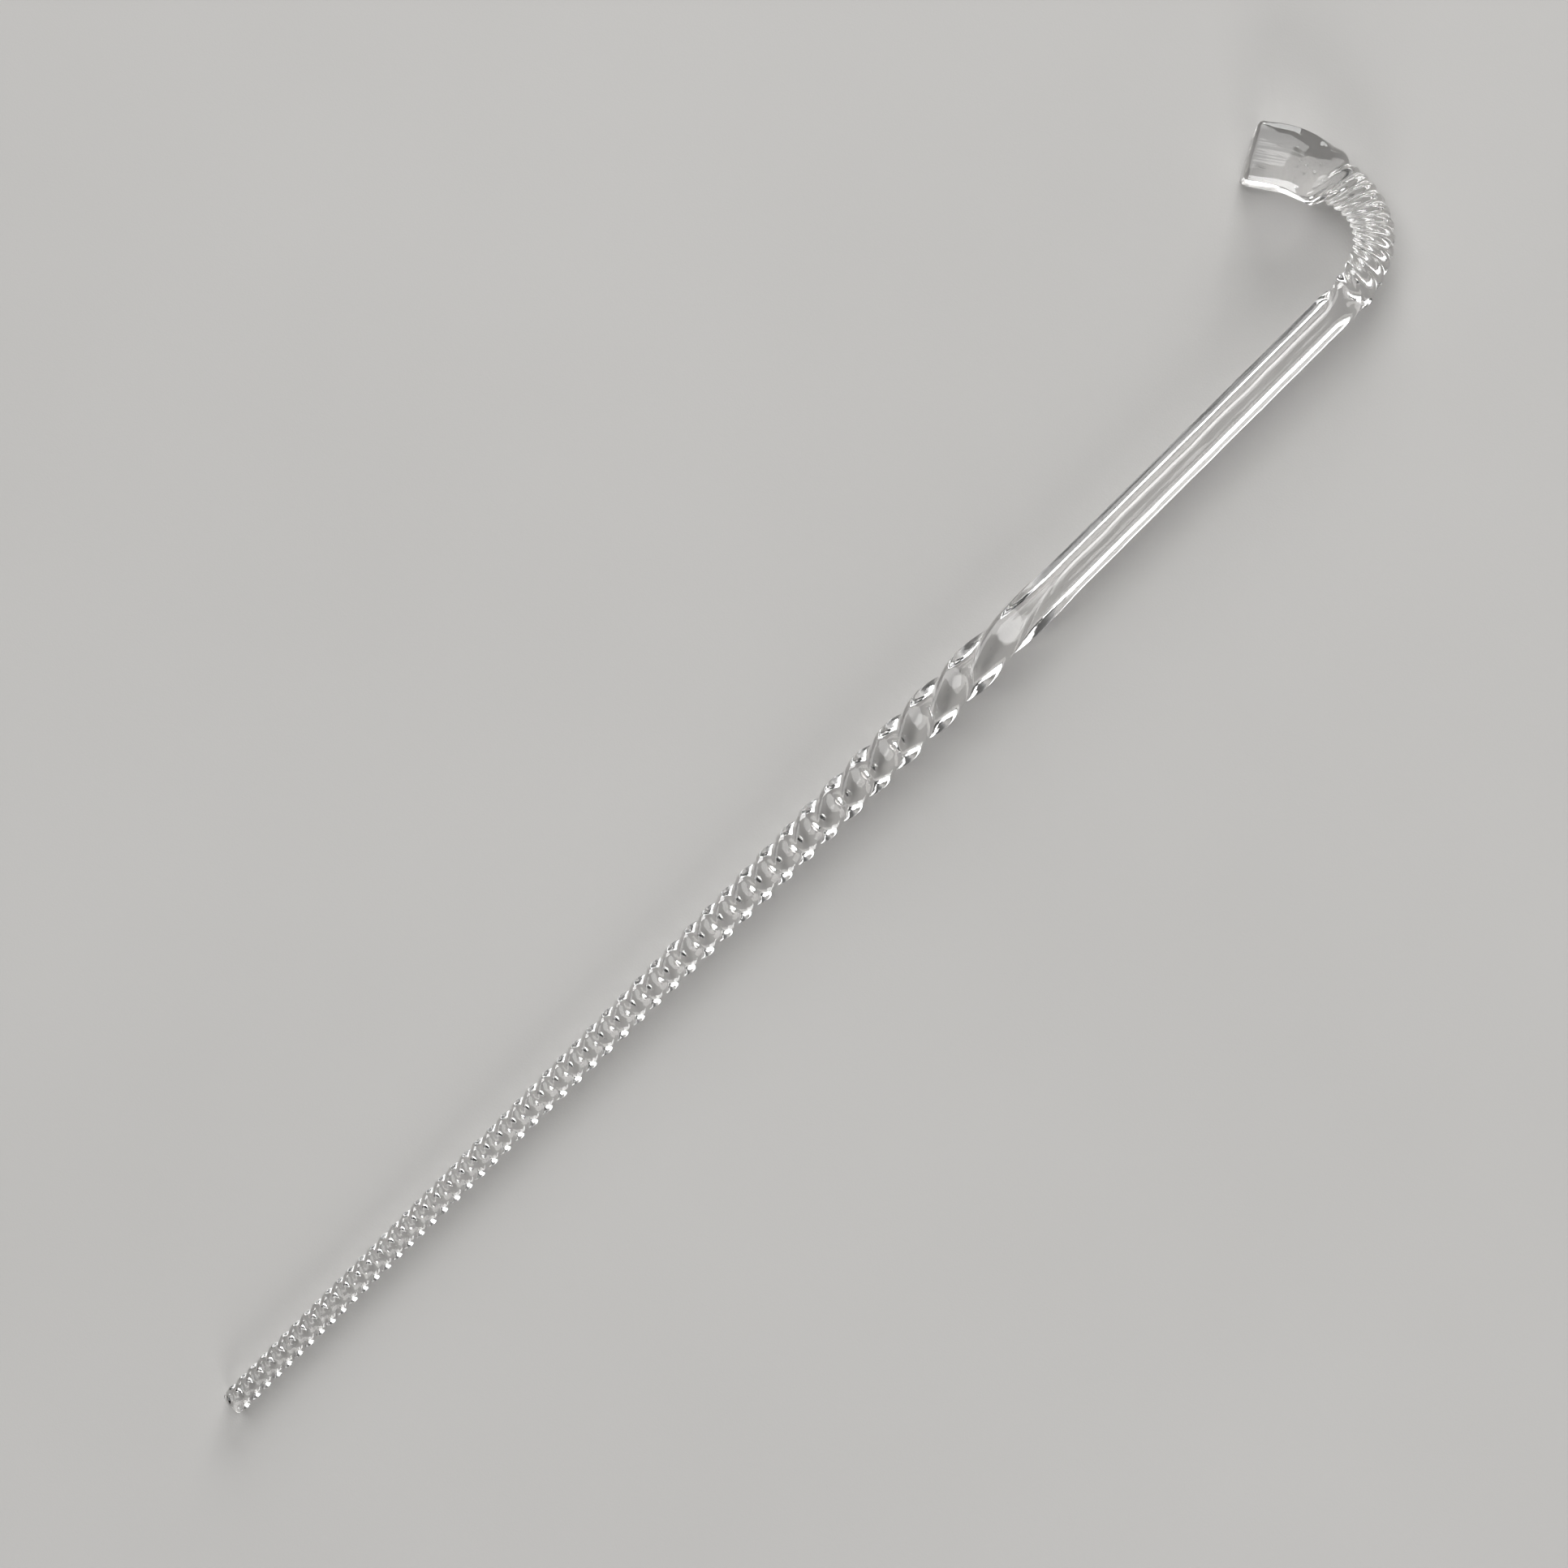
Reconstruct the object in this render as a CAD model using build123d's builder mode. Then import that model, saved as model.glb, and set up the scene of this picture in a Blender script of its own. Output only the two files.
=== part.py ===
from build123d import *
import os
from bisect import bisect_right
from math import ceil

# Solid glass walking cane, lying on its side as on a shelf. All lengths are in millimetres and all angles in
# degrees. +Y runs up the cane from the foot to the hook, the hook turns to -X, and +Z is up. The one glass bar
# is divided where its working changes, and each length is measured along the middle of the bar from the foot.

# ---- driving dimensions ----
overall_length = 915.8
shaft_x = 44.4  # how far the shaft stands to the right of the middle of the whole cane
shaft_length = 855.0
grip_length = 14.0
hook_bends = [(80.0, 19.4), (31.7, 70.3), (83.0, 36.1)]  # radius and turn of each arc of the hook
end_face_turn = -7.0  # how far the grip's end face is turned from square to the bar

# Where each named length of the bar begins, from the foot up.
beginnings = {
    "tip": 0.0,
    "lower_twist": 10.0,
    "middle_twist": 140.0,
    "upper_twist": 330.0,
    "twist_runout": 510.0,
    "plain_shank": 650.0,
    "knuckle": 845.0,
    "crook_twist_lower": 882.0,
    "crook_twist_upper": 908.0,
    "grip_neck": 933.0,
    "grip_block": 950.0,
}

# Half the bar's width across its flats, at points along it.
half_width = [
    (0.0, 6.3),
    (140.0, 6.6),
    (320.0, 7.6),
    (400.0, 8.5),
    (470.0, 9.4),
    (568.0, 10.1),
    (594.0, 9.9),
    (650.0, 8.7),
    (842.0, 8.6),
    (866.0, 9.8),
    (890.0, 10.1),
    (915.0, 10.6),
    (933.0, 11.7),
    (945.0, 15.7),
    (958.0, 16.8),
    (988.0, 16.9),
]

# Radius of the bar's rounded corners, as a share of its half width.
corner_share = [
    (0.0, 0.58),
    (320.0, 0.46),
    (568.0, 0.35),
    (845.0, 0.35),
    (882.0, 0.68),
    (933.0, 0.68),
    (950.0, 0.42),
    (988.0, 0.22),
]

# Height of the middle of the bar above the surface that the cane lies on.
middle_height = [
    (0.0, 7.35),
    (568.0, 12.95),
    (855.0, 15.4),
    (945.0, 15.9),
    (958.0, 16.4),
    (988.0, 16.5),
]

# How far the middle of the bar leans off its line, towards the inside of the hook.
lean_inwards = [
    (850.0, 0.0),
    (868.0, -0.6),
    (886.0, 0.0),
    (928.0, 0.0),
    (946.0, 2.0),
    (964.0, 0.8),
    (988.0, 0.8),
]

# Twist of the bar, in degrees for each millimetre: relative values, scaled to the whole twist below.
shaft_twist_rate = [(0.0, 11.3), (140.0, 10.4), (250.0, 8.1), (425.0, 5.7), (568.0, 2.7), (655.0, 0.0)]
hook_twist_rate = [(845.0, 0.0), (873.0, 9.3), (891.0, 15.4), (931.0, 15.4), (948.0, 0.0)]
quarter_turn = 90.0
shank_corner_angle = 12.0  # lean of the shank's top corner from upright, to the left
block_corner_angle = 45.0  # the block's faces lie level and upright
shaft_twist = 49.0 * quarter_turn
hook_twist = 12.0 * quarter_turn + block_corner_angle - shank_corner_angle

# The foot and the grip's end face are rounded over by the flame.
tip_rounding = 3.1
grip_edge_rounding = 3.0

# Spacing of the cross sections that each length is lofted through.
largest_twist_step = 15.0
largest_section_gap = 12.0

os.makedirs("parts", exist_ok=True)


# ---- shape of the bar along its length ----
def straight_between(table, length):
    """Value at a length, on straight lines between the rows of a table."""
    if length <= table[0][0]:
        return table[0][1]
    if length >= table[-1][0]:
        return table[-1][1]
    row = bisect_right([place for place, _ in table], length)
    (start, low), (end, high) = table[row - 1], table[row]
    return low + (high - low) * (length - start) / (end - start)


def smooth_between(table, length):
    """Value at a length, on a smooth curve through a table's rows that never swings past them."""
    if not table[0][0] < length < table[-1][0]:
        return straight_between(table, length)
    slopes = [(b[1] - a[1]) / (b[0] - a[0]) for a, b in zip(table, table[1:])]
    tangents = [slopes[0]]
    for before, after in zip(slopes, slopes[1:]):
        same_way = before * after > 0
        tangents.append(2 * before * after / (before + after) if same_way else 0.0)
    tangents.append(slopes[-1])
    row = bisect_right([place for place, _ in table], length) - 1
    (start, low), (end, high) = table[row], table[row + 1]
    span = end - start
    part_way = (length - start) / span
    ease = part_way**2 * (3 - 2 * part_way)
    lift = part_way * (1 - part_way) ** 2 * tangents[row] * span
    drop = part_way**2 * (1 - part_way) * tangents[row + 1] * span
    return low + (high - low) * ease + lift - drop


def area_under(table, start, end):
    """Twist between two places, from the table of twist rates."""
    places = [start] + [place for place, _ in table if start < place < end] + [end]
    rates = [straight_between(table, place) for place in places]
    steps = zip(places, places[1:], rates, rates[1:])
    return sum((b - a) * (rate_a + rate_b) / 2 for a, b, rate_a, rate_b in steps)


def share_turned(table, length):
    """Share of a table's whole twist that lies below a place."""
    first, last = table[0][0], table[-1][0]
    return area_under(table, first, min(max(length, first), last)) / area_under(table, first, last)


def corner_angle(length):
    """Lean of one corner of the bar from upright, to the left of the way the bar runs."""
    still_to_turn = shaft_twist * (1 - share_turned(shaft_twist_rate, length))
    return shank_corner_angle - still_to_turn + hook_twist * share_turned(hook_twist_rate, length)


with BuildLine() as middle:
    stretch = Line((0, 0), (0, shaft_length))
    for bend_radius, bend_turn in hook_bends:
        stretch = JernArc(stretch @ 1, stretch % 1, bend_radius, bend_turn)
    Line(stretch @ 1, stretch @ 1 + (stretch % 1) * grip_length)
middle_line = middle.wire()
bar_length = middle_line.length


def section_plane(length):
    """Upright plane across the bar: its x runs to the bar's left and its y runs up."""
    place = middle_line.position_at(length, position_mode=PositionMode.LENGTH)
    heading = middle_line.tangent_at(length, position_mode=PositionMode.LENGTH)
    block_start = beginnings["grip_block"]
    block_share = max(0.0, (length - block_start) / (bar_length - block_start))
    heading = heading.rotate(Axis.Z, end_face_turn * block_share)
    left = Vector(-heading.Y, heading.X, 0)
    foot = Vector(shaft_x, -overall_length / 2, smooth_between(middle_height, length))
    centre = foot + place + left * smooth_between(lean_inwards, length)
    return Plane(origin=centre, x_dir=left, z_dir=heading)


def section_shape(length):
    """Side, corner radius and turn of the rounded square across the bar."""
    half = smooth_between(half_width, length)
    return 2 * half, half * straight_between(corner_share, length), 45 - corner_angle(length)


def section_places(start, end):
    """Places along a length of the bar, close enough together to carry its twist."""
    turn = abs(corner_angle(end) - corner_angle(start))
    steps = max(2, ceil(turn / largest_twist_step), ceil((end - start) / largest_section_gap))
    return [start + (end - start) * step / steps for step in range(steps + 1)]


def bar_between(start, end):
    """The bar between two places, as one closed solid."""
    with BuildPart() as bar:
        for place in section_places(start, end):
            side, rounding, turn = section_shape(place)
            with BuildSketch(section_plane(place)):
                RectangleRounded(side, side, rounding, rotation=turn)
        loft()
    return bar.part


def save(piece, name):
    """Label a finished length of the bar and write its STEP file."""
    piece.part.label = name
    export_step(piece.part, f"parts/{name}.step")


# ---- twisted and plain lengths, from above the foot to the end of the tight twist ----
names = list(beginnings)
for name, next_name in zip(names[1:-2], names[2:-1]):
    blank = bar_between(beginnings[name], beginnings[next_name])
    with BuildPart() as bar_length_part:
        add(blank)
    save(bar_length_part, name)

# ---- foot, with its end rounded over by the flame ----
tip_blank = bar_between(beginnings["tip"], beginnings["lower_twist"])
with BuildPart() as tip:
    add(tip_blank)
    foot_face = tip.faces().filter_by(GeomType.PLANE).sort_by(Axis.Y)[0]
    fillet(foot_face.edges(), tip_rounding)
save(tip, "tip")

# ---- neck, where the last ribs unwind and the bar swells into the grip ----
neck_blank = bar_between(beginnings["grip_neck"], beginnings["grip_block"])
with BuildPart() as grip_neck:
    add(neck_blank)
    split(bisect_by=Plane.XY, keep=Keep.TOP)
save(grip_neck, "grip_neck")

# ---- grip block, flat underneath and rounded round its end face ----
block_blank = bar_between(beginnings["grip_block"], bar_length)
with BuildPart() as grip_block:
    add(block_blank)
    grip_face = grip_block.faces().filter_by(GeomType.PLANE).sort_by(Axis.X)[0]
    fillet(grip_face.edges(), grip_edge_rounding)
    split(bisect_by=Plane.XY, keep=Keep.TOP)
save(grip_block, "grip_block")
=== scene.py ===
import math
import random

import bpy
import numpy as np
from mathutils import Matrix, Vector


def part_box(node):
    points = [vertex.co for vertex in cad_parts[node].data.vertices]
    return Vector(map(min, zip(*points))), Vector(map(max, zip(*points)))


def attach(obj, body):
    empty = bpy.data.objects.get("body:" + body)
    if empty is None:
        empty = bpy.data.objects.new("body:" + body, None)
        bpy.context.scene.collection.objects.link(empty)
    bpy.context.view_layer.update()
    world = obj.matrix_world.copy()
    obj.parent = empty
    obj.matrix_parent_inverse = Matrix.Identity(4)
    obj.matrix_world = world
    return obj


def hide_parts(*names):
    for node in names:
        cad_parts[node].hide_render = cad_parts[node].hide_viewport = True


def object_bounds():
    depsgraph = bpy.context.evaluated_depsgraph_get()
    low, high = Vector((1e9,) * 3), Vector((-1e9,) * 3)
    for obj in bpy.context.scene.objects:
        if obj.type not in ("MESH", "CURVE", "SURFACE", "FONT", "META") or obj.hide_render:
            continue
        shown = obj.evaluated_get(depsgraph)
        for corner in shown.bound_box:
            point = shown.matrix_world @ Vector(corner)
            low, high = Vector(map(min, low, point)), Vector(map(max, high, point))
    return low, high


# Clear glass walking cane, lying on its side on a pale floor and seen from straight above. One watertight glass
# bar is drawn ring by ring along its middle line, with the gas seeds that were caught in it as small cavities.
# Lengths in the tables are in millimetres along the middle of the bar from the foot; Blender's are in metres.

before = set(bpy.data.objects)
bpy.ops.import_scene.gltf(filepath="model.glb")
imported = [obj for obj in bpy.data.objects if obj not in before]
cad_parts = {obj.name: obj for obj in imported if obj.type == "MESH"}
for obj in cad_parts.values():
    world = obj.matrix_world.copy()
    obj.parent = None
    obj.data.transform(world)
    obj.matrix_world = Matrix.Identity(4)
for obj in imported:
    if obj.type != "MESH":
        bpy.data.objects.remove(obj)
cad_low, cad_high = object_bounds()
shaft_low, shaft_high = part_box("lower_twist")
foot = np.array([(shaft_low.x + shaft_high.x) / 2, cad_low.y, cad_low.z])
MM = 0.001
DRAWN_PLACES = "drawn_places"
UPWARDS = np.array([0.0, 0.0, 1.0])

# ---- the bar's middle line ----
SHAFT_LENGTH = 855.0
HOOK_BENDS = [(80.0, 19.4), (31.7, 70.3), (83.0, 36.1)]  # radius and turn in degrees of each arc
GRIP_LENGTH = 14.0
END_FACE_TURN = -7.0  # degrees that the grip's end face is turned from square to the bar
FOOT_ROUNDING = 3.1
GRIP_ROUNDING = 3.0

# ---- the bar's section along it ----
HALF_WIDTH = [
    (0.0, 6.3), (140.0, 6.6), (320.0, 7.6), (400.0, 8.5), (470.0, 9.4), (568.0, 10.1), (594.0, 9.9),
    (650.0, 8.7), (842.0, 8.6), (866.0, 9.8), (890.0, 10.1), (915.0, 10.6), (933.0, 11.7), (945.0, 15.7),
    (958.0, 16.8), (988.0, 16.9),
]
CORNER_SHARE = [  # radius of the rounded corners, as a share of the half width
    (0.0, 0.58), (320.0, 0.46), (568.0, 0.35), (845.0, 0.35), (882.0, 0.68), (933.0, 0.68), (952.0, 0.24),
    (988.0, 0.19),
]
MIDDLE_HEIGHT = [(0.0, 7.35), (568.0, 12.95), (855.0, 15.4), (945.0, 15.9), (958.0, 16.4), (988.0, 16.5)]
LEAN_INWARDS = [  # how far the bar leans off its middle line, towards the inside of the hook
    (850.0, 0.0), (868.0, -0.6), (886.0, 0.0), (928.0, 0.0), (946.0, 2.0), (964.0, 0.8), (988.0, 0.8),
]
BLOCK_START = 950.0

# ---- slanting facets along the grip block's two upper edges: their widths from above, and their slope ----
OUTER_FACET = [(946.0, 0.0), (953.0, 6.5), (966.0, 5.5), (988.0, 1.6)]
INNER_FACET = [(946.0, 0.0), (953.0, 8.0), (966.0, 6.0), (988.0, 3.2)]
FACET_SLOPE = 0.68

# ---- the bar's twist: rates are relative, and angles are in degrees ----
SHAFT_TWIST_RATE = [(0.0, 11.3), (140.0, 10.4), (250.0, 8.1), (425.0, 5.7), (568.0, 2.7), (655.0, 0.0)]
HOOK_TWIST_RATE = [(845.0, 0.0), (873.0, 9.3), (891.0, 15.4), (931.0, 15.4), (948.0, 0.0)]
QUARTER_TURN = 90.0
SHANK_CORNER_ANGLE = 12.0
BLOCK_CORNER_ANGLE = 45.0
SHAFT_TWIST = 49.0 * QUARTER_TURN
HOOK_TWIST = 12.0 * QUARTER_TURN + BLOCK_CORNER_ANGLE - SHANK_CORNER_ANGLE

# ---- unevenness of hand-worked glass ----
LONG_WANDER, LONG_WAVE = 0.006, 37.0  # share of the half width, and length of the wave
SHORT_WANDER, SHORT_WAVE = 0.003, 9.0
TWIST_WANDER, TWIST_WAVE = 1.5, 61.0  # degrees, and length of the wave
SHARPEST_CORNER = 0.5
END_DOME = 0.3

# ---- fineness of the glass mesh ----
TWIST_STEP = 5.2  # degrees of twist between rings
LONGEST_STEP = 2.5
CORNER_STEPS = 8
FLAT_STEPS = 8
ROUNDING_STEPS = 8
FACE_STEPS = 5
SEED_STEPS = 8
SEED_ROWS = 6

# ---- gas seeds: where they lie, how many, and their smallest and largest radius ----
SEED_STRETCHES = [
    (6.0, 330.0, 40, 0.10, 0.22), (330.0, 655.0, 34, 0.12, 0.26), (655.0, 845.0, 10, 0.12, 0.24),
    (845.0, 940.0, 12, 0.12, 0.28), (940.0, 980.0, 9, 0.2, 0.45),
]
SEED_REACH = 0.72  # share of the half width within which they lie
LONGEST_SEED = 2.6  # length over width

# ---- glass and paper ----
GLASS_IOR = 1.5
GLASS_COLOUR = (0.998, 0.994, 0.988, 1.0)
TINT_COLOUR = (0.62, 0.55, 0.47, 1.0)
TINT_DENSITY = 1.2
SMEAR_SCALE = 140.0
SMEAR_ROUGHNESS = 0.03
DRAWN_LINE_SCALE = 420.0
DRAWN_LINE_STRETCH = (1.0, 1.0, 0.03)
DRAWN_LINE_STRENGTH, DRAWN_LINE_DEPTH = 0.2, 0.0004
PAPER_DARK = (0.38, 0.373, 0.363, 1.0)
PAPER_LIGHT = (0.42, 0.413, 0.403, 1.0)
PAPER_SHINE = 0.03
PAPER_ROUGHNESS = (0.75, 0.85)
CLOUD_SCALE = 3.0
TOOTH_SCALE = 900.0
TOOTH_STRENGTH, TOOTH_DEPTH = 0.15, 0.0003

# ---- floor and camera, in metres ----
FLOOR_RADIUS = 12.0
FLOOR_SIDES = 96
FLOOR_GAP = 0.0002
CAMERA_HEIGHT = 3.2
FRAME_WIDTH = 0.8563
CAMERA_OFFSET = (0.0163, -0.0029)
CAMERA_TURN = 45.2  # degrees

# ---- light: each softbox's offset from the middle of the cane, width, height and watts ----
SOFTBOXES = {
    "left_softbox": ((-3.75, 4.0, 2.1), 3.0, 2.5, 262.0),
    "right_softbox": ((4.0, -3.75, 2.0), 2.5, 2.25, 162.0),
    "far_softbox": ((-2.5, 5.0, 1.6), 2.0, 1.9, 94.0),
}
CEILING_WAY = (-1.0, 0.3, 1.9)
CEILING_SPREAD = 55.0  # degrees
CEILING_STRENGTH = 2.8
WORLD_GREYS = ((0.0, 0.36), (0.1, 0.32), (0.2, 0.12), (0.6, 0.04))  # height of the view, and brightness


# ---- shape of the bar ----
def straight(table, places):
    """Values at places, on straight lines between a table's rows."""
    return np.interp(places, *zip(*table))


def smooth(table, places):
    """Values at places, on a smooth curve through a table's rows that never swings past them."""
    at, value = (np.array(column) for column in zip(*table))
    slopes = np.diff(value) / np.diff(at)
    tangents = np.zeros(len(at))
    tangents[[0, -1]] = slopes[[0, -1]]
    same_way = slopes[:-1] * slopes[1:] > 0
    both = np.where(same_way, slopes[:-1] + slopes[1:], 1.0)
    tangents[1:-1] = np.where(same_way, 2 * slopes[:-1] * slopes[1:] / both, 0.0)
    places = np.clip(places, at[0], at[-1])
    row = np.clip(np.searchsorted(at, places, side="right") - 1, 0, len(slopes) - 1)
    span = (at[1:] - at[:-1])[row]
    part = (places - at[row]) / span
    ease = part**2 * (3 - 2 * part)
    lift = part * (1 - part) ** 2 * tangents[row] * span
    drop = part**2 * (1 - part) * tangents[row + 1] * span
    return value[row] + (value[row + 1] - value[row]) * ease + lift - drop


def share_turned(table, places):
    """Share of a twist-rate table's whole twist that lies below each place."""
    fine = np.linspace(table[0][0], table[-1][0], 4001)
    rate = straight(table, fine)
    turned = np.concatenate([[0.0], np.cumsum((rate[1:] + rate[:-1]) / 2)])
    return np.interp(places, fine, turned / turned[-1])


def corner_angle(places):
    """Lean of one corner from upright, in degrees to the left of the way the bar runs."""
    shaft = SHAFT_TWIST * (1 - share_turned(SHAFT_TWIST_RATE, places))
    return SHANK_CORNER_ANGLE - shaft + HOOK_TWIST * share_turned(HOOK_TWIST_RATE, places)


def middle_line(places):
    """Position across and along the floor, and heading, of the middle line at each place."""
    stretches = [(math.inf, SHAFT_LENGTH, 0.0)]
    stretches += [(radius, radius * math.radians(turn), math.radians(turn)) for radius, turn in HOOK_BENDS]
    stretches += [(math.inf, GRIP_LENGTH, 0.0)]
    x, y, heading = np.zeros((3, len(places)))
    start, corner, facing = 0.0, np.zeros(2), 0.0
    for radius, run, turn in stretches:
        here = places >= start
        gone = places[here] - start
        if turn:
            turned = facing + gone / radius
            x[here] = corner[0] + radius * (np.cos(turned) - math.cos(facing))
            y[here] = corner[1] + radius * (np.sin(turned) - math.sin(facing))
            heading[here] = turned
            corner = corner + radius * np.array(
                [math.cos(facing + turn) - math.cos(facing), math.sin(facing + turn) - math.sin(facing)]
            )
        else:
            x[here] = corner[0] - math.sin(facing) * gone
            y[here] = corner[1] + math.cos(facing) * gone
            heading[here] = facing
            corner = corner + run * np.array([-math.sin(facing), math.cos(facing)])
        start += run
        facing += turn
    return x, y, heading, start


BAR_LENGTH = middle_line(np.zeros(1))[3]


def wander(places, wavelength, seed):
    """Smooth unevenness between about -1 and 1, as a hand-drawn bar has."""
    rng = random.Random(seed)
    total = np.zeros(len(places))
    for part in (1.0, 0.62, 0.37):
        phase = rng.uniform(0, 2 * math.pi)
        total += part * np.sin(2 * math.pi * places / (wavelength * part) + phase)
    return total / 2


def end_inset(places):
    """How far the bar's surface has drawn in at each place, where its two ends are rounded over."""
    inset = np.zeros(len(places))
    for radius, depth in ((FOOT_ROUNDING, places), (GRIP_ROUNDING, BAR_LENGTH - places)):
        short = np.clip(radius - (depth - END_DOME), 0.0, radius)
        inset += radius - np.sqrt(radius**2 - short**2)
    return inset


def ring_places():
    """Places of the rings: evenly over the roundings' arcs, and by twist and longest step between them."""
    first, last = END_DOME + FOOT_ROUNDING, BAR_LENGTH - END_DOME - GRIP_ROUNDING
    fine = np.linspace(first, last, 40001)
    density = np.abs(np.gradient(corner_angle(fine), fine)) / TWIST_STEP + 1 / LONGEST_STEP
    count = np.concatenate([[0.0], np.cumsum((density[1:] + density[:-1]) / 2 * np.diff(fine))])
    between = np.interp(np.linspace(0.0, count[-1], math.ceil(count[-1])), count, fine)
    arc = 1 - np.cos(np.linspace(0.0, math.pi / 2, ROUNDING_STEPS, endpoint=False))
    foot_arc = END_DOME + FOOT_ROUNDING * arc
    grip_arc = BAR_LENGTH - END_DOME - GRIP_ROUNDING * arc[::-1]
    return np.concatenate([foot_arc, between, grip_arc])


def stand(places):
    """Centre of the bar, its left and its heading at each place, in the row frame and in metres."""
    x, y, heading, _ = middle_line(places)
    block = np.maximum(0.0, (places - BLOCK_START) / (BAR_LENGTH - BLOCK_START))
    facing = heading + math.radians(END_FACE_TURN) * block
    level = np.zeros(len(places))
    left = np.stack([-np.cos(facing), -np.sin(facing), level], axis=1)
    ahead = np.stack([-np.sin(facing), np.cos(facing), level], axis=1)
    along_floor = np.stack([x, y, smooth(MIDDLE_HEIGHT, places)], axis=1)
    lean = smooth(LEAN_INWARDS, places)[:, None] * left
    return foot + (along_floor + lean) * MM, left, ahead


def rounded_square(half, rounding, turn):
    """Points round rounded squares of the given half widths, corner radii and turns: (rings, points, 2)."""
    signs = [(1, 1), (-1, 1), (-1, -1), (1, -1)]
    reach = half - rounding
    ring = []
    for quarter in range(4):
        from_x, from_y = signs[quarter]
        to_x, to_y = signs[(quarter + 1) % 4]
        for step in range(CORNER_STEPS + FLAT_STEPS):
            angle = math.radians(90 * (quarter + min(1.0, step / CORNER_STEPS)))
            along = max(0.0, (step - CORNER_STEPS) / FLAT_STEPS)
            x = reach * (from_x + (to_x - from_x) * along) + rounding * math.cos(angle)
            y = reach * (from_y + (to_y - from_y) * along) + rounding * math.sin(angle)
            ring.append((x * np.cos(turn) - y * np.sin(turn), x * np.sin(turn) + y * np.cos(turn)))
    return np.array(ring).transpose(2, 0, 1)


def pressed(section, half, places):
    """The sections with the grip block's upper edges pressed into slanting facets."""
    upright = section[:, :, 1]
    for outwards, table in ((section[:, :, 0], INNER_FACET), (-section[:, :, 0], OUTER_FACET)):
        width = smooth(table, places)[:, None]
        past = outwards - (half[:, None] - width)
        facet = half[:, None] - FACET_SLOPE * past
        upright = np.where((width > 0) & (past > 0), np.minimum(upright, facet), upright)
    return np.stack([section[:, :, 0], upright], axis=2)


def section_turn(places):
    """Turn of the section at each place, in radians, with the unevenness of a twist made by hand."""
    return np.radians(45 - corner_angle(places) + TWIST_WANDER * wander(places, TWIST_WAVE, 3))


def build_bar():
    """The glass bar as one closed mesh, drawn ring by ring from the foot to the grip's end face.

    With each vertex comes its place in the bar before it was bent and twisted, which the drawn lines follow.
    """
    places = ring_places()
    half = smooth(HALF_WIDTH, places)
    uneven = LONG_WANDER * wander(places, LONG_WAVE, 1) + SHORT_WANDER * wander(places, SHORT_WAVE, 2)
    half = half * (1 + uneven)
    inset = end_inset(places)
    rounding = np.maximum(half * straight(CORNER_SHARE, places) - inset, SHARPEST_CORNER)
    section = pressed(rounded_square(half - inset, rounding, section_turn(places)), half - inset, places)
    centre, left, ahead = stand(places)
    sideways = section[:, :, :1] * left[:, None, :]
    upright = section[:, :, 1:] * UPWARDS
    rings = centre[:, None, :] + (sideways + upright) * MM
    rings[:, :, 2] = np.maximum(rings[:, :, 2], cad_low.z)

    plain = rounded_square(half - inset, rounding, 0.0 * places)
    lengthways = np.broadcast_to(places[:, None, None], plain.shape[:2] + (1,))
    drawn = np.concatenate([plain, lengthways], axis=2) * MM
    foot_face, drawn_foot = end_face(rings[0], -ahead[0]), end_face(drawn[0], np.zeros(3))
    grip_face, drawn_grip = end_face(rings[-1], ahead[-1]), end_face(drawn[-1], np.zeros(3))
    rings = np.concatenate([foot_face[:0:-1], rings, grip_face[1:]])
    drawn = np.concatenate([drawn_foot[:0:-1], drawn, drawn_grip[1:]])
    count = rings.shape[1]
    foot_pole, grip_pole = len(rings) * count, len(rings) * count + 1
    poles = [foot_face[-1].mean(axis=0), grip_face[-1].mean(axis=0)]
    drawn_poles = [drawn_foot[-1].mean(axis=0), drawn_grip[-1].mean(axis=0)]
    faces = []
    for row in range(len(rings) - 1):
        for step in range(count):
            here, after = row * count + step, row * count + (step + 1) % count
            faces.append((here, after, after + count, here + count))
    last_row = (len(rings) - 1) * count
    for step in range(count):
        after = (step + 1) % count
        faces.append((foot_pole, after, step))
        faces.append((grip_pole, last_row + step, last_row + after))
    vertices = np.concatenate([rings.reshape(-1, 3), poles])
    return vertices, faces, np.concatenate([drawn.reshape(-1, 3), drawn_poles])


def end_face(rim, outward):
    """Rings from a rim in across a gently domed end face."""
    centre = rim.mean(axis=0)
    shares = np.linspace(1.0, 0.0, FACE_STEPS, endpoint=False)
    dome = outward * END_DOME * MM
    return np.array([centre + (rim - centre) * share + dome * (1 - share**2) for share in shares])


def point_inside(place, share_left, share_up):
    """Point in the bar that turns with its twist: shares of the half width from the middle of the bar."""
    at = np.array([place])
    centre, left, _ = stand(at)
    turn = section_turn(at)[0]
    half = smooth(HALF_WIDTH, at)[0]
    sideways = share_left * math.cos(turn) - share_up * math.sin(turn)
    upright = share_left * math.sin(turn) + share_up * math.cos(turn)
    return centre[0] + (sideways * left[0] + upright * UPWARDS) * half * MM


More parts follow.
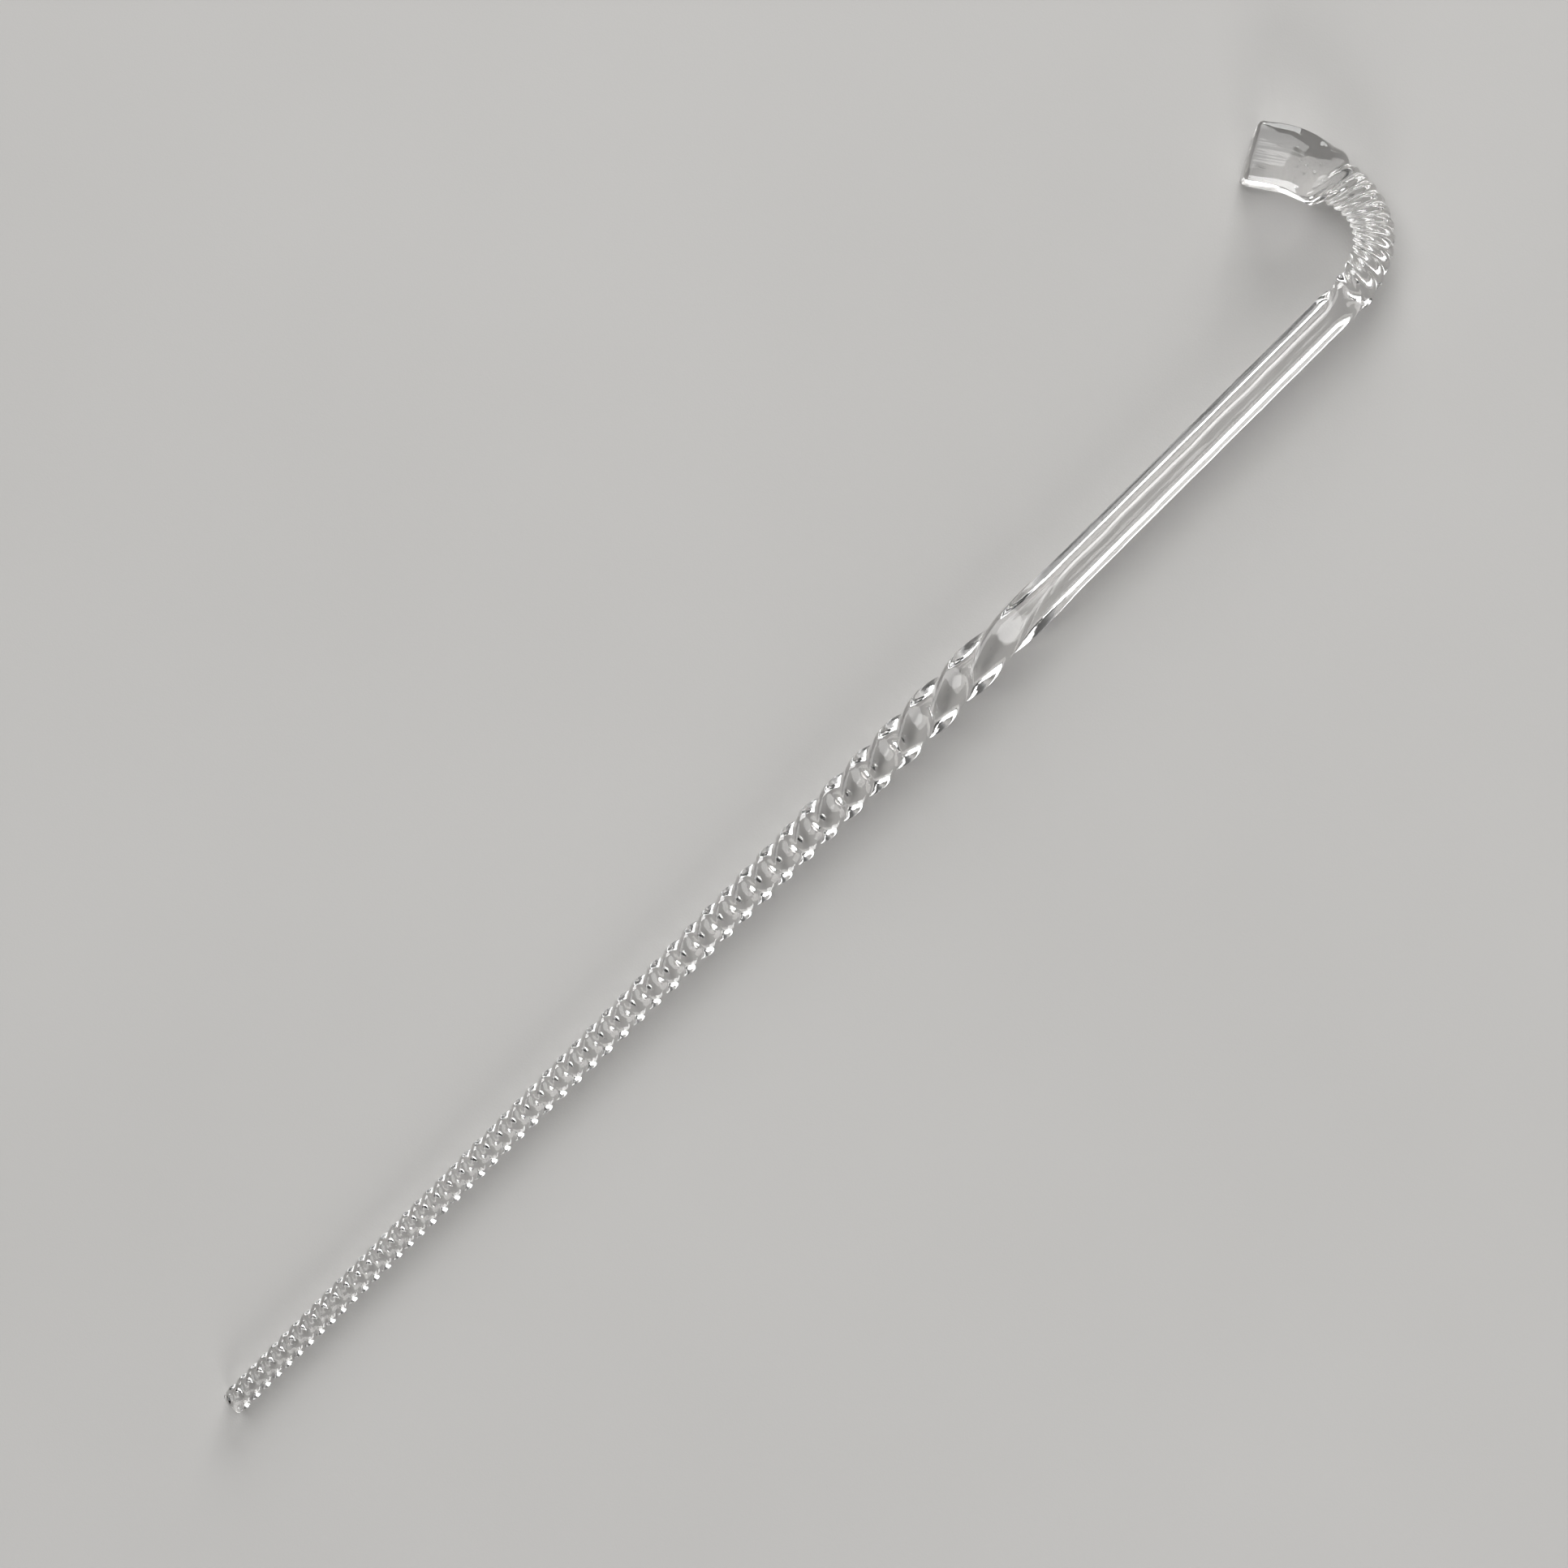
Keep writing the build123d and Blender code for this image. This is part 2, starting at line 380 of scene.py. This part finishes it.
def seed_mesh(centre, along, radius, stretch):
    """A long gas seed: an ellipsoid whose faces look inwards, into the gas."""
    across = np.cross(along, UPWARDS)
    across /= np.linalg.norm(across)
    third = np.cross(along, across)
    vertices = [centre - along * radius * stretch]
    for row in range(1, SEED_ROWS):
        lift = math.pi * row / SEED_ROWS
        for step in range(SEED_STEPS):
            angle = 2 * math.pi * step / SEED_STEPS
            ring = across * math.cos(angle) + third * math.sin(angle)
            vertices.append(centre + radius * (ring * math.sin(lift) - along * stretch * math.cos(lift)))
    vertices.append(centre + along * radius * stretch)
    top = len(vertices) - 1
    faces = []
    for step in range(SEED_STEPS):
        after = (step + 1) % SEED_STEPS
        faces.append((0, 1 + step, 1 + after))
        for row in range(SEED_ROWS - 2):
            low, high = 1 + row * SEED_STEPS, 1 + (row + 1) * SEED_STEPS
            faces.append((low + step, high + step, high + after, low + after))
        last = 1 + (SEED_ROWS - 2) * SEED_STEPS
        faces.append((last + after, last + step, top))
    return vertices, faces


def build_seeds():
    """Gas seeds scattered through the bar, drawn out along its twist."""
    rng = random.Random(11)
    vertices, faces = [], []
    for start, end, amount, smallest, largest in SEED_STRETCHES:
        for _ in range(amount):
            place = rng.uniform(start, end)
            reach, angle = SEED_REACH * math.sqrt(rng.random()), rng.uniform(0, 2 * math.pi)
            shares = reach * math.cos(angle), reach * math.sin(angle)
            before, after = point_inside(place - 0.5, *shares), point_inside(place + 0.5, *shares)
            along = (after - before) / np.linalg.norm(after - before)
            radius = rng.uniform(smallest, largest) * MM
            stretch = rng.uniform(1.0, LONGEST_SEED)
            new_vertices, new_faces = seed_mesh((before + after) / 2, along, radius, stretch)
            faces += [tuple(len(vertices) + corner for corner in face) for face in new_faces]
            vertices += new_vertices
    return vertices, faces


def mesh_object(name, vertices, faces, material):
    """A smooth-shaded mesh object with one material."""
    mesh = bpy.data.meshes.new(name)
    mesh.from_pydata([tuple(map(float, vertex)) for vertex in vertices], [], faces)
    mesh.materials.append(material)
    mesh.shade_smooth()
    mesh.validate()
    made = bpy.data.objects.new(name, mesh)
    bpy.context.scene.collection.objects.link(made)
    return made


# ---- materials ----
def new_material(name):
    """A node material, its node tree and its Principled shader."""
    material = bpy.data.materials.new(name)
    material.use_nodes = True
    tree = material.node_tree
    return material, tree, tree.nodes["Principled BSDF"]


def object_places(tree):
    """Coordinates in metres on the object."""
    return tree.nodes.new("ShaderNodeTexCoord").outputs["Object"]


def drawn_places(tree):
    """Coordinates in metres in the glass bar before it was bent and twisted."""
    attribute = tree.nodes.new("ShaderNodeAttribute")
    attribute.attribute_name = DRAWN_PLACES
    return attribute.outputs["Vector"]


def noise_texture(tree, places, scale, detail, stretch=(1.0, 1.0, 1.0)):
    """A noise texture on coordinates, with a share of its scale along each axis."""
    mapping = tree.nodes.new("ShaderNodeMapping")
    mapping.inputs["Scale"].default_value = stretch
    noise = tree.nodes.new("ShaderNodeTexNoise")
    noise.inputs["Scale"].default_value = scale
    noise.inputs["Detail"].default_value = detail
    tree.links.new(places, mapping.inputs["Vector"])
    tree.links.new(mapping.outputs["Vector"], noise.inputs["Vector"])
    return noise


def mapped(tree, value, low, high):
    """A value from 0 to 1 carried to a range."""
    spread = tree.nodes.new("ShaderNodeMapRange")
    spread.inputs["To Min"].default_value = low
    spread.inputs["To Max"].default_value = high
    tree.links.new(value, spread.inputs["Value"])
    return spread.outputs["Result"]


def bump(tree, height, strength, distance):
    """A bump of a height texture."""
    node = tree.nodes.new("ShaderNodeBump")
    node.inputs["Strength"].default_value = strength
    node.inputs["Distance"].default_value = distance
    tree.links.new(height, node.inputs["Height"])
    return node.outputs["Normal"]


def clear_glass(name, uneven):
    """Clear glass with a faint warm cast, and a surface that the flame left slightly uneven."""
    material, tree, shader = new_material(name)
    shader.inputs["Base Color"].default_value = GLASS_COLOUR
    shader.inputs["Transmission Weight"].default_value = 1.0
    shader.inputs["IOR"].default_value = GLASS_IOR
    if uneven:
        smears = noise_texture(tree, object_places(tree), SMEAR_SCALE, 3.0)
        roughness = mapped(tree, smears.outputs["Fac"], 0.0, SMEAR_ROUGHNESS)
        tree.links.new(roughness, shader.inputs["Roughness"])
        lines = noise_texture(tree, drawn_places(tree), DRAWN_LINE_SCALE, 2.0, DRAWN_LINE_STRETCH)
        relief = bump(tree, lines.outputs["Fac"], DRAWN_LINE_STRENGTH, DRAWN_LINE_DEPTH)
        tree.links.new(relief, shader.inputs["Normal"])
    else:
        shader.inputs["Roughness"].default_value = 0.0
    tint = tree.nodes.new("ShaderNodeVolumeAbsorption")
    tint.inputs["Color"].default_value = TINT_COLOUR
    tint.inputs["Density"].default_value = TINT_DENSITY
    tree.links.new(tint.outputs["Volume"], tree.nodes["Material Output"].inputs["Volume"])
    return material


def pale_floor():
    """Pale grey paper with a faint tooth."""
    material, tree, shader = new_material("pale_floor")
    clouds = noise_texture(tree, object_places(tree), CLOUD_SCALE, 4.0)
    ramp = tree.nodes.new("ShaderNodeValToRGB")
    ramp.color_ramp.elements[0].color = PAPER_DARK
    ramp.color_ramp.elements[1].color = PAPER_LIGHT
    tree.links.new(clouds.outputs["Fac"], ramp.inputs["Fac"])
    tree.links.new(ramp.outputs["Color"], shader.inputs["Base Color"])
    shader.inputs["Specular IOR Level"].default_value = PAPER_SHINE
    tooth = noise_texture(tree, object_places(tree), TOOTH_SCALE, 2.0)
    tree.links.new(mapped(tree, tooth.outputs["Fac"], *PAPER_ROUGHNESS), shader.inputs["Roughness"])
    tree.links.new(bump(tree, tooth.outputs["Fac"], TOOTH_STRENGTH, TOOTH_DEPTH), shader.inputs["Normal"])
    return material


# ---- the cane ----
bar_vertices, bar_faces, drawn_vertices = build_bar()
glass_bar = mesh_object("glass_bar", bar_vertices, bar_faces, clear_glass("clear_glass", True))
drawn_attribute = glass_bar.data.attributes.new(DRAWN_PLACES, "FLOAT_VECTOR", "POINT")
drawn_attribute.data.foreach_set("vector", drawn_vertices.astype(np.float32).ravel())
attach(glass_bar, "root")
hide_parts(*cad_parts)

seed_vertices, seed_faces = build_seeds()
gas_seeds = mesh_object("gas_seeds", seed_vertices, seed_faces, clear_glass("seed_walls", False))
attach(gas_seeds, "root")

# ---- floor, light and camera ----
floor_angles = [2 * math.pi * step / FLOOR_SIDES for step in range(FLOOR_SIDES)]
floor_points = [
    (FLOOR_RADIUS * math.cos(angle), FLOOR_RADIUS * math.sin(angle), -FLOOR_GAP) for angle in floor_angles
]
floor = mesh_object("floor", floor_points, [tuple(range(FLOOR_SIDES))], pale_floor())

middle = (cad_low + cad_high) / 2


def softbox(name, offset, width, height, power):
    """A rectangular soft light that faces the middle of the cane."""
    lamp = bpy.data.lights.new(name, "AREA")
    lamp.shape = "RECTANGLE"
    lamp.size, lamp.size_y = width, height
    lamp.energy = power
    made = bpy.data.objects.new(name, lamp)
    made.location = middle + Vector(offset)
    made.rotation_mode = "QUATERNION"
    made.rotation_quaternion = Vector(offset).to_track_quat("Z", "Y")
    made.visible_camera = False
    bpy.context.scene.collection.objects.link(made)


for name, shape in SOFTBOXES.items():
    softbox(name, *shape)

ceiling = bpy.data.lights.new("ceiling_light", "SUN")
ceiling.angle = math.radians(CEILING_SPREAD)
ceiling.energy = CEILING_STRENGTH
ceiling_light = bpy.data.objects.new("ceiling_light", ceiling)
ceiling_light.rotation_mode = "QUATERNION"
ceiling_light.rotation_quaternion = Vector(CEILING_WAY).to_track_quat("Z", "Y")
bpy.context.scene.collection.objects.link(ceiling_light)

world = bpy.data.worlds.new("studio")
bpy.context.scene.world = world
world.use_nodes = True
sky = world.node_tree
direction = sky.nodes.new("ShaderNodeTexCoord")
height = sky.nodes.new("ShaderNodeSeparateXYZ")
greys = sky.nodes.new("ShaderNodeValToRGB")
for place, grey in WORLD_GREYS:
    stop = greys.color_ramp.elements.new(place)
    stop.color = (grey, grey, grey, 1.0)
greys.color_ramp.elements.remove(greys.color_ramp.elements[0])
greys.color_ramp.elements[-1].color = greys.color_ramp.elements[-2].color
sky.links.new(direction.outputs["Generated"], height.inputs["Vector"])
sky.links.new(height.outputs["Z"], greys.inputs["Fac"])
sky.links.new(greys.outputs["Color"], sky.nodes["Background"].inputs["Color"])

lens = bpy.data.cameras.new("camera")
camera = bpy.data.objects.new("camera", lens)
lens.sensor_width = 36.0
lens.lens = lens.sensor_width * (CAMERA_HEIGHT - middle.z) / FRAME_WIDTH
lens.clip_end = 50.0
camera.location = (middle.x + CAMERA_OFFSET[0], middle.y + CAMERA_OFFSET[1], CAMERA_HEIGHT)
camera.rotation_euler = (0.0, 0.0, math.radians(CAMERA_TURN))
bpy.context.scene.collection.objects.link(camera)
bpy.context.scene.camera = camera
bpy.context.scene.view_settings.view_transform = "Standard"
bpy.context.scene.cycles.max_bounces = 24
bpy.context.scene.cycles.glossy_bounces = 16
bpy.context.scene.cycles.transmission_bounces = 24

bpy.context.view_layer.update()
